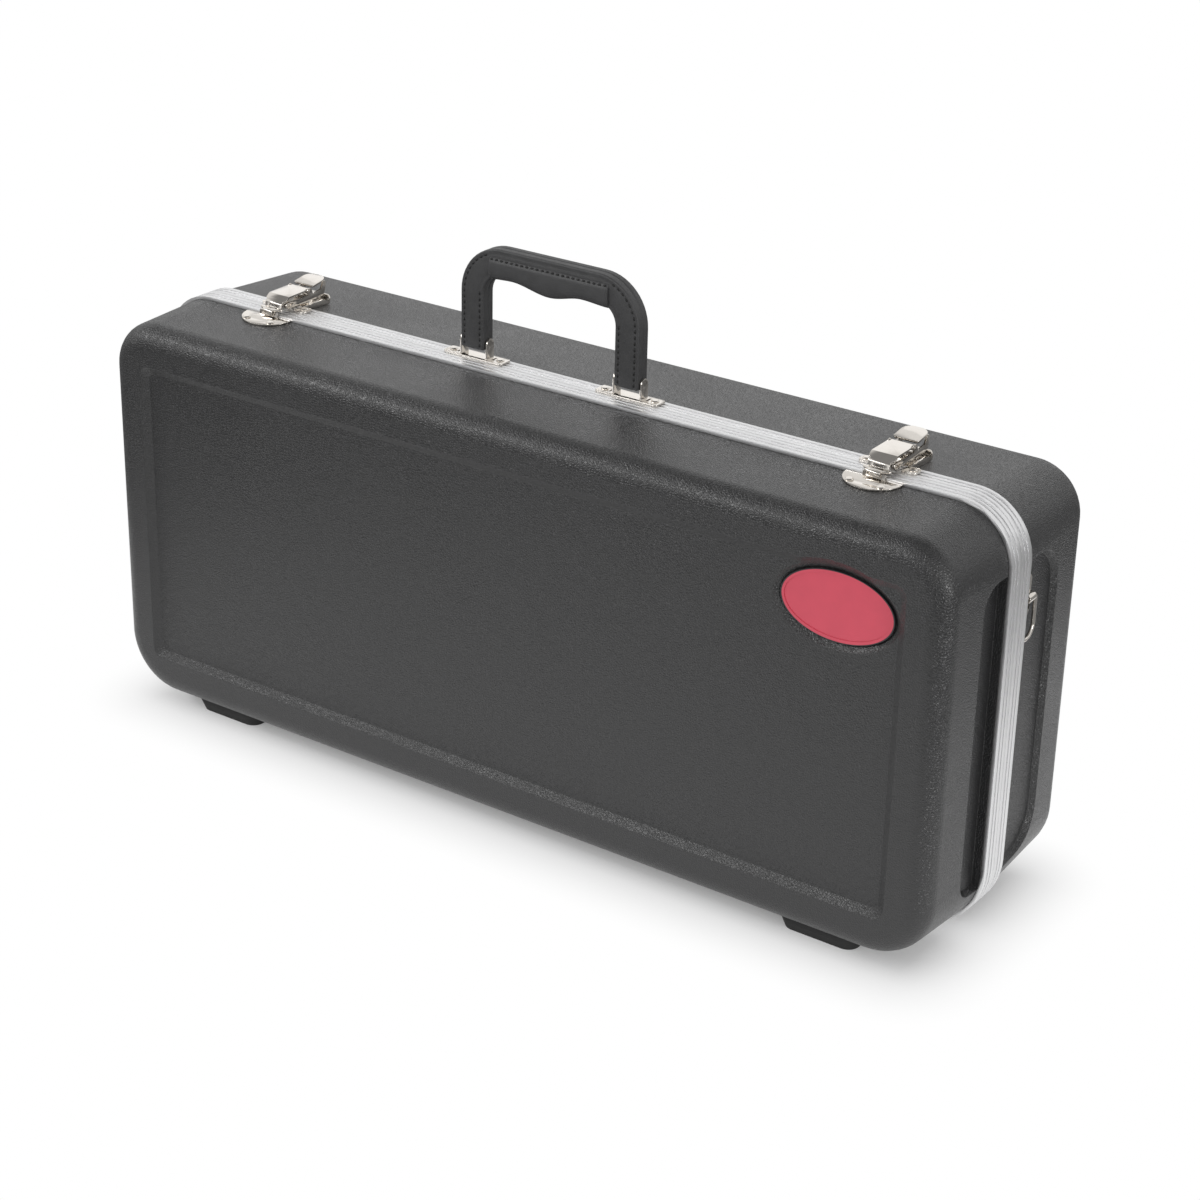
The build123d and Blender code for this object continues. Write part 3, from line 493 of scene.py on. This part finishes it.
def edged_copy(node, name, width):
    """Copy of a CAD node as one joined mesh with rounded edges, which stands for the node."""
    bm = joined_copy(node)
    bmesh.ops.dissolve_limit(bm, angle_limit=FLAT_ANGLE, verts=bm.verts, edges=bm.edges)
    piece = new_piece(bm, name)
    add_modifier(piece, "edges", "BEVEL", width=width, segments=EDGE_SEGMENTS, limit_method="ANGLE",
                 angle_limit=EDGE_ANGLE, harden_normals=True)
    applied(piece)
    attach(piece, frame["nodes"][node]["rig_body"])
    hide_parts(node)


def plush_copy(node, name, sizes):
    """Soft copy of a lining: rounded rims and gently uneven faces, which stands for the node."""
    piece = finish_piece(joined_copy(node), name)
    add_modifier(piece, "skin", "REMESH", mode="VOXEL", voxel_size=sizes.skin, use_smooth_shade=True)
    add_modifier(piece, "soften", "SMOOTH", factor=PLUSH_SOFTNESS, iterations=sizes.rounding)
    waves = bpy.data.textures.new(f"{name}_waves", "CLOUDS")
    waves.noise_scale = PLUSH_WAVE
    waves.noise_depth = PLUSH_WAVE_DEPTH
    add_modifier(piece, "uneven", "DISPLACE", texture=waves, strength=sizes.give, mid_level=PLUSH_LEVEL)
    applied(piece)
    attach(piece, frame["nodes"][node]["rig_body"])
    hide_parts(node)


def superellipse(turn, power):
    """Point of a rounded square of half size 1."""
    c, s = math.cos(turn), math.sin(turn)
    return (math.copysign(abs(c) ** (2 / power), c), math.copysign(abs(s) ** (2 / power), s))


def rounded_section(half_width, half_depth, radius, arc=5, flat=14):
    """Points round a rectangle with rounded corners, with even steps on its sides."""
    points = []
    for quarter in range(4):
        c, s = round(math.cos(quarter * QUARTER)), round(math.sin(quarter * QUARTER))
        out, along = (half_width, half_depth) if quarter % 2 == 0 else (half_depth, half_width)
        span = along - radius
        side = [(out, span * (2 * i / flat - 1)) for i in range(flat + 1)]
        corner = [(out - radius + radius * math.cos(QUARTER * i / arc),
                   span + radius * math.sin(QUARTER * i / arc)) for i in range(1, arc)]
        points += [(c * x - s * y, s * x + c * y) for x, y in side + corner]
    return points


def dip(value, place, width):
    """Bell curve of height 1 at a place."""
    return math.exp(-((value - place) / width) ** 2)


def extrude_ring(bm, edges):
    """Extrudes a closed ring of edges in place; gives the new ring's points and edges."""
    made = bmesh.ops.extrude_edge_only(bm, edges=edges)["geom"]
    verts = [part for part in made if isinstance(part, bmesh.types.BMVert)]
    rim = [part for part in made if isinstance(part, bmesh.types.BMEdge) and len(part.link_faces) == 1]
    return verts, rim


def carry_ring(bm, edges, way, count):
    """Carries a ring of edges along a way in a number of steps."""
    for _ in range(count):
        verts, edges = extrude_ring(bm, edges)
        bmesh.ops.translate(bm, verts=verts, vec=way / count)
    return edges


def bend_ring(bm, edges, centre):
    """Carries a ring of edges round a corner of the handle."""
    verts = list({vert for edge in edges for vert in edge.verts})
    made = bmesh.ops.spin(bm, geom=verts + edges, cent=centre, axis=(0, 1, 0), dvec=(0, 0, 0),
                          angle=QUARTER, steps=BEND_RINGS, use_merge=False)["geom_last"]
    return [part for part in made if isinstance(part, bmesh.types.BMEdge)]


def close_ends(bm, rounding, segments):
    """Caps the open ends of a tube and rounds their rims."""
    rims = [edge for edge in bm.edges if len(edge.link_faces) == 1]
    caps = bmesh.ops.holes_fill(bm, edges=rims, sides=0)["faces"]
    bmesh.ops.bevel(bm, geom=list({edge for cap in caps for edge in cap.edges}), offset=rounding,
                    segments=segments, profile=0.5, material=-1, affect="EDGES")


def handle_path(sizes):
    """The cover's middle line: centre, half the legs' spacing, bend radius and height of the bends."""
    centre = (cover_low + cover_high) / 2
    half = sizes.width / 2
    reach = (cover_high.x - cover_low.x) / 2 - half
    bend = sizes.corner - half
    return centre, reach, bend, cover_high.z - half - bend


def cover_section(sizes):
    """Points of the cover's section: a crowned strap with sunk seams and side grooves."""
    half, deepest = sizes.width / 2, sizes.thickness / 2
    seam = half - sizes.stitch_inset
    points = []
    for across, deep in rounded_section(half, deepest, sizes.edge):
        if abs(deep) > deepest - SKIN_BAND:
            sink = SEAM_SINK * dip(abs(across), seam, SEAM_WIDTH) - CROWN * dip(across, 0, CROWN_WIDTH)
            deep -= math.copysign(sink + CROWN, deep)
        if abs(across) > half - SKIN_BAND:
            across -= math.copysign(SIDE_SINK * dip(deep, 0, SIDE_WIDTH), across)
        points.append((across, deep))
    return points


def handle_cover(sizes):
    """Stitched cover: one section carried up a leg, round a corner, along the top and down."""
    centre, reach, bend, knee = handle_path(sizes)
    section = cover_section(sizes)
    bm = bmesh.new()
    ring = bmesh.ops.create_circle(bm, segments=len(section), radius=1.0)["verts"]
    for vert, (across, deep) in zip(ring, section):
        vert.co = (centre.x - reach + across, centre.y + deep, cover_low.z)
    edges = list({edge for vert in ring for edge in vert.link_edges})
    leg, span = Vector((0, 0, knee - cover_low.z)), Vector((2 * (reach - bend), 0, 0))
    edges = carry_ring(bm, edges, leg, LEG_RINGS)
    edges = bend_ring(bm, edges, (centre.x - reach + bend, centre.y, knee))
    edges = carry_ring(bm, edges, span, TOP_RINGS)
    edges = bend_ring(bm, edges, (centre.x + reach - bend, centre.y, knee))
    carry_ring(bm, edges, -leg, LEG_RINGS)
    close_ends(bm, COVER_END, COVER_END_SEGMENTS)
    piece = finish_piece(bm, "stitched_cover")
    for end in SIDES:
        bore(piece, f"handle_pin_{end}", 2 * sizes.width)
    return piece


def bore(piece, pin, depth):
    """Cuts the hole of a pin, which lies along the case, through a piece."""
    low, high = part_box(pin)
    radius = (high.z - low.z) / 2 + BORE_PLAY
    bm = bmesh.new()
    place = Matrix.Translation((low + high) / 2) @ Matrix.Rotation(QUARTER, 4, "Y")
    bmesh.ops.create_cone(bm, cap_ends=True, segments=BORE_SEGMENTS, radius1=radius, radius2=radius,
                          depth=depth, matrix=place)
    tool = finish_piece(bm, "bore_tool", smooth=False)
    add_modifier(piece, "bore", "BOOLEAN", operation="DIFFERENCE", solver="EXACT", object=tool)
    applied(piece)
    bpy.data.objects.remove(tool)


def finger_line(along):
    """Height of the grip's underside, from 0 to 1, by smooth steps between its hollows."""
    for (start, low), (end, high) in zip(FINGERS, FINGERS[1:]):
        if along <= end:
            share = (along - start) / (end - start)
            share = share * share * (3 - 2 * share)
            return low + (high - low) * share
    return FINGERS[-1][1]


def grip_section(sizes, along, turn):
    """Point of the grip's skin: across and up, at a share of its length and a turn round it."""
    low = grip_low.z + sizes.finger_depth * finger_line(along)
    y, z = superellipse(turn, GRIP_POWER_ABOVE if turn > 0 else GRIP_POWER_BELOW)
    height = low + (grip_high.z - low) * (z + 1) / 2
    width = (grip_high.y - grip_low.y) / 2
    width *= 1 - GRIP_TAPER * max(0.0, z) ** GRIP_TAPER_POWER
    width *= 1 - GRIP_END_TAPER * abs(along) ** GRIP_END_POWER
    width -= GRIP_SEAM_SINK * dip(height, grip_high.z - GRIP_SEAM, GRIP_SEAM_WIDTH)
    return y * width, height


def grip_sleeve(sizes):
    """Padded sleeve round the top of the handle, with finger hollows and rolled ends."""
    centre = (grip_low + grip_high) / 2
    half = (grip_high.x - grip_low.x) / 2
    bm = bmesh.new()
    verts = bmesh.ops.create_circle(bm, segments=GRIP_SEGMENTS, radius=1.0,
                                    matrix=Matrix.Rotation(QUARTER, 4, "Y"))["verts"]
    edges = list({edge for vert in verts for edge in vert.link_edges})
    rings = [verts]
    for _ in range(sizes.steps):
        verts, edges = extrude_ring(bm, edges)
        rings.append(verts)
    for index, ring in enumerate(rings):
        along = 2 * index / sizes.steps - 1
        for vert in ring:
            y, z = grip_section(sizes, along, math.atan2(vert.co.z, vert.co.y))
            vert.co = (centre.x + along * half, centre.y + y, z)
    close_ends(bm, GRIP_END, GRIP_END_SEGMENTS)
    return finish_piece(bm, "grip_sleeve")


def stitch(bm, place, direction, out, sizes):
    """One stitch: a slim lens that lies along the seam, half sunk in it."""
    side = out.cross(direction).normalized()
    turn = Matrix((direction, side, out)).transposed().to_4x4()
    size = Matrix.Diagonal((sizes.stitch_length / 2, sizes.stitch_radius, sizes.stitch_radius, 1.0))
    bmesh.ops.create_icosphere(bm, subdivisions=2, radius=1.0,
                               matrix=Matrix.Translation(place) @ turn @ size)


def leg_rows(sizes):
    """Places across and up, and directions, of the stitches on the legs and round the corners."""
    centre, reach, bend, knee = handle_path(sizes)
    offset = sizes.width / 2 - sizes.stitch_inset
    radius = bend + offset
    start = cover_low.z + FIRST_STITCH
    leg_count = int((knee - start) / sizes.stitch_pitch)
    bend_count = int(radius * QUARTER / sizes.stitch_pitch)
    upward = Vector((0, 0, 1))
    rows = []
    for side in (-1, 1):
        for index in range(leg_count + 1):
            z = start + (knee - start) * index / leg_count
            rows += [(centre.x + side * (reach + row), z, upward) for row in (offset, -offset)]
        for index in range(1, bend_count + 1):
            turn = index / bend_count * QUARTER
            x = centre.x + side * (reach - bend + radius * math.cos(turn))
            way = Vector((-side * math.sin(turn), 0, math.cos(turn)))
            rows.append((x, knee + radius * math.sin(turn), way))
    return rows


def grip_rows(sizes):
    """Places along the grip and depths of the stitches of its side seam."""
    middle, length = (grip_low.x + grip_high.x) / 2, grip_high.x - grip_low.x
    count = int((length - GRIP_ROW_INSET) / sizes.stitch_pitch)
    rows = []
    for index in range(count + 1):
        along = (2 * index / count - 1) * GRIP_ROW_SHARE
        rows.append((middle + along * length / 2, seam_depth(sizes, along, grip_high.z - GRIP_SEAM)))
    return rows


def seam_depth(sizes, along, height):
    """Distance of the grip's skin from the middle plane at one height."""
    points = [grip_section(sizes, along, QUARTER * i / SECTION_STEPS) for i in range(SECTION_STEPS + 1)]
    return min(points, key=lambda point: abs(point[1] - height))[0]


def handle_stitches(sizes):
    """All stitches of the handle, front and back."""
    middle = ((cover_low + cover_high) / 2).y
    skin = sizes.thickness / 2 - THREAD_SINK
    bm = bmesh.new()
    for side in (-1, 1):
        out = Vector((0, side, 0))
        for x, z, way in leg_rows(sizes):
            under_grip = grip_low.x - GRIP_MARGIN < x < grip_high.x + GRIP_MARGIN and z > grip_low.z
            if not under_grip:
                stitch(bm, Vector((x, middle + side * skin, z)), way, out, sizes)
        for x, deep in grip_rows(sizes):
            place = Vector((x, middle + side * deep, grip_high.z - GRIP_SEAM))
            stitch(bm, place, Vector((1, 0, 0)), out, sizes)
    return finish_piece(bm, "handle_stitches")


# ---- operators

def press(parts, material, edge):
    """Replaces pressed sheets at both sides by copies with rounded edges."""
    for end in SIDES:
        for part in parts:
            name = f"{part}_{end}"
            edged_copy(name, f"{name}_pressed", edge)
            dress((f"{name}_pressed",), material)


def at_both_sides(*parts):
    """Names of the parts that the case has at its left and at its right."""
    return [f"{part}_{end}" for end in SIDES for part in parts]


class CASE_OT_shells(bpy.types.Operator):
    """Grained plastic of the two shells"""
    bl_idname = "case.shells"
    bl_label = "Shells"

    def execute(self, context):
        dress(("front_shell", "rear_shell"), shell_material(context.scene.case_finishes))
        return {"FINISHED"}


class CASE_OT_valances(bpy.types.Operator):
    """Drawn aluminium strips round the split"""
    bl_idname = "case.valances"
    bl_label = "Aluminium strips"

    def execute(self, context):
        finishes = context.scene.case_finishes
        drawn = aluminium_material(finishes)
        for half in HALVES:
            name = f"{half}_valance"
            edged_copy(name, f"{name}_drawn", finishes.strip_edge)
            dress((f"{name}_drawn",), drawn)
        return {"FINISHED"}


class CASE_OT_lining(bpy.types.Operator):
    """Plush lining of both halves"""
    bl_idname = "case.lining"
    bl_label = "Lining"

    def execute(self, context):
        for half in ("base", "lid"):
            plush_copy(f"{half}_liner", f"{half}_plush", context.scene.case_lining)
        dress(("base_plush", "lid_plush"), plush_material(context.scene.case_finishes))
        return {"FINISHED"}


class CASE_OT_handle(bpy.types.Operator):
    """Stitched cover, padded grip and stitches of the handle"""
    bl_idname = "case.handle"
    bl_label = "Handle"

    def execute(self, context):
        finishes, sizes = context.scene.case_finishes, context.scene.case_handle
        cover, sleeve, stitches = handle_cover(sizes), grip_sleeve(sizes), handle_stitches(sizes)
        for piece in (cover, sleeve, stitches):
            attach(piece, "handle")
        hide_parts("handle_cover")
        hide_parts("handle_grip")
        dress(("stitched_cover", "grip_sleeve"), leather_material(finishes))
        dress(("handle_stitches",), thread_material(finishes))
        return {"FINISHED"}


class CASE_OT_hardware(bpy.types.Operator):
    """Nickel latches, handle brackets, hinges and strap rings, and steel screws"""
    bl_idname = "case.hardware"
    bl_label = "Latches, brackets, hinges and rings"

    def execute(self, context):
        finishes = context.scene.case_finishes
        nickel = nickel_material(finishes)
        press(("latch_base", "latch_lever", "latch_hook", "keeper"), nickel, finishes.edge)
        press(("handle_bracket", "strap_plate"), nickel, finishes.edge)
        dress(at_both_sides("latch_lever_pin", "hook_pin", "handle_pin", "strap_ring",
                            "hinge_leaf_rear", "hinge_leaf_front", "hinge_pin"), nickel)
        dress(("latch_base_rivets", "keeper_rivets", "handle_bracket_rivets", "hinge_rivets_rear",
               "hinge_rivets_front", "strap_plate_rivets"), nickel)
        dress(("handle_core", "foot_screws_rear", "foot_screws_front"), steel_material(finishes))
        return {"FINISHED"}


class CASE_OT_feet(bpy.types.Operator):
    """Rubber feet"""
    bl_idname = "case.feet"
    bl_label = "Feet"

    def execute(self, context):
        dress(at_both_sides("foot_front", "foot_rear"), rubber_material(context.scene.case_finishes))
        return {"FINISHED"}


class CASE_OT_badge(bpy.types.Operator):
    """Bare oval badge"""
    bl_idname = "case.badge"
    bl_label = "Badge"

    def execute(self, context):
        dress(("badge",), badge_material(context.scene.case_finishes))
        return {"FINISHED"}


def background_rays(tree):
    """1 for the rays that show the background: camera, glossy and transmission."""
    path = add_node(tree, "ShaderNodeLightPath")
    first = math_node(tree, "MAXIMUM", path.outputs["Is Camera Ray"], path.outputs["Is Glossy Ray"])
    return math_node(tree, "MAXIMUM", first, path.outputs["Is Transmission Ray"])


def floor_material(colour):
    """Matt floor that keeps the case's shadow and turns into the white background round it."""
    material, tree, surface = new_material("pale_floor", Base_Color=(*colour, 1.0), Roughness=0.9,
                                           Specular_IOR_Level=0.0)
    bare = add_node(tree, "ShaderNodeEmission", sockets={"Strength": 1.0})
    place = add_node(tree, "ShaderNodeTexCoord")
    whole = vector_node(tree, "ABSOLUTE", place.outputs["Object"])
    past = vector_node(tree, "SUBTRACT", whole, sockets={1: SHADOW_REACH})
    ahead = vector_node(tree, "MAXIMUM", past, sockets={1: (0.0, 0.0, 0.0)})
    far = vector_node(tree, "LENGTH", ahead)
    fade = spread(tree, far, *SHADOW_FADE, 0.0, 1.0, smooth=True)
    share = math_node(tree, "MULTIPLY", background_rays(tree), fade)
    mix = add_node(tree, "ShaderNodeMixShader",
                   [(0, share), (1, surface.outputs["BSDF"]), (2, bare.outputs["Emission"])])
    output = next(node for node in tree.nodes if node.type == "OUTPUT_MATERIAL")
    tree.links.new(mix.outputs["Shader"], output.inputs["Surface"])
    return material


class CASE_OT_stage(bpy.types.Operator):
    """Floor, light and the photograph's camera"""
    bl_idname = "case.stage"
    bl_label = "Stage"

    def execute(self, context):
        stage = context.scene.case_stage
        bm = bmesh.new()
        bmesh.ops.create_circle(bm, cap_ends=True, segments=FLOOR_SEGMENTS, radius=stage.table)
        floor = finish_piece(bm, "floor", smooth=False)
        floor.data.materials.append(floor_material(stage.floor))
        self.world(context, stage)
        self.lamps(context)
        self.camera(context, stage)
        context.scene.view_settings.view_transform = "Standard"
        return {"FINISHED"}

    def world(self, context, stage):
        """White for the camera, an even light, and a room with pale walls for reflections."""
        world = bpy.data.worlds.new("pale_room")
        context.scene.world = world
        world.use_nodes = True
        tree = world.node_tree
        back = next(node for node in tree.nodes if node.type == "BACKGROUND")
        set_sockets(back, {"Color": (1.0, 1.0, 1.0, 1.0)})
        place = add_node(tree, "ShaderNodeTexCoord")
        way = add_node(tree, "ShaderNodeSeparateXYZ", [(0, place.outputs["Generated"])])
        above = spread(tree, way.outputs["Z"], *WALL_FOOT, 0.0, 1.0, smooth=True)
        below = spread(tree, way.outputs["Z"], *WALL_TOP, 1.0, 0.0, smooth=True)
        wall = math_node(tree, "MULTIPLY", above, below)
        room = spread(tree, wall, 0.0, 1.0, stage.ceiling, 1.0)
        level = add_node(tree, "ShaderNodeMix", [(0, background_rays(tree)), (3, room)],
                         {2: stage.ambient}, data_type="FLOAT")
        path = add_node(tree, "ShaderNodeLightPath")
        pale = math_node(tree, "MAXIMUM", level.outputs[0], path.outputs["Is Camera Ray"])
        tree.links.new(pale, back.inputs["Strength"])

    def lamps(self, context):
        for values in LAMPS:
            data = bpy.data.lights.new(values["name"], "AREA")
            data.shape = "RECTANGLE"
            data.size, data.size_y = values["size"]
            data.energy = values["power"]
            lamp = bpy.data.objects.new(values["name"], data)
            context.scene.collection.objects.link(lamp)
            lamp.location = values["place"]
            way = Vector(values["aim"]) - Vector(values["place"])
            lamp.rotation_euler = way.to_track_quat("-Z", "Y").to_euler()

    def camera(self, context, stage):
        data = bpy.data.cameras.new("camera")
        data.lens = stage.lens
        data.shift_y = stage.shift
        data.clip_end = stage.reach
        camera = bpy.data.objects.new("camera", data)
        context.scene.collection.objects.link(camera)
        turn, rise, roll = stage.azimuth, stage.elevation, stage.roll
        back = Vector((math.sin(turn) * math.cos(rise), -math.cos(turn) * math.cos(rise), math.sin(rise)))
        right = Vector((math.cos(turn), math.sin(turn), 0))
        up = back.cross(right)
        across = math.cos(roll) * right + math.sin(roll) * up
        upright = math.cos(roll) * up - math.sin(roll) * right
        pose = Matrix((across, upright, back)).transposed().to_4x4()
        camera.matrix_world = Matrix.Translation(Vector(stage.aim) + stage.distance * back) @ pose
        context.scene.camera = camera


OPERATORS = (CASE_OT_shells, CASE_OT_valances, CASE_OT_lining, CASE_OT_handle, CASE_OT_hardware,
             CASE_OT_feet, CASE_OT_badge, CASE_OT_stage)
GROUPS = (("case_finishes", CaseFinishes), ("case_handle", HandleSizes), ("case_lining", LiningSizes),
          ("case_stage", StageSettings))


class CASE_PT_panel(bpy.types.Panel):
    """Sizes, colours and steps of the case"""
    bl_idname = "CASE_PT_panel"
    bl_label = "Saxophone case"
    bl_space_type = "VIEW_3D"
    bl_region_type = "UI"
    bl_category = "Case"

    def draw(self, context):
        for holder, group in GROUPS:
            box = self.layout.box()
            for key in group.__annotations__:
                box.prop(getattr(context.scene, holder), key)
        for operator in OPERATORS:
            self.layout.operator(operator.bl_idname)


def register():
    for holder, group in GROUPS:
        bpy.utils.register_class(group)
        setattr(bpy.types.Scene, holder, PointerProperty(type=group))
    for operator in OPERATORS:
        bpy.utils.register_class(operator)
    bpy.utils.register_class(CASE_PT_panel)


def unregister():
    bpy.utils.unregister_class(CASE_PT_panel)
    for operator in reversed(OPERATORS):
        bpy.utils.unregister_class(operator)
    for holder, group in reversed(GROUPS):
        delattr(bpy.types.Scene, holder)
        bpy.utils.unregister_class(group)


def main():
    register()
    bpy.ops.case.shells()
    bpy.ops.case.valances()
    bpy.ops.case.lining()
    bpy.ops.case.handle()
    bpy.ops.case.hardware()
    bpy.ops.case.feet()
    bpy.ops.case.badge()
    bpy.ops.case.stage()


if __name__ == "__main__":
    main()
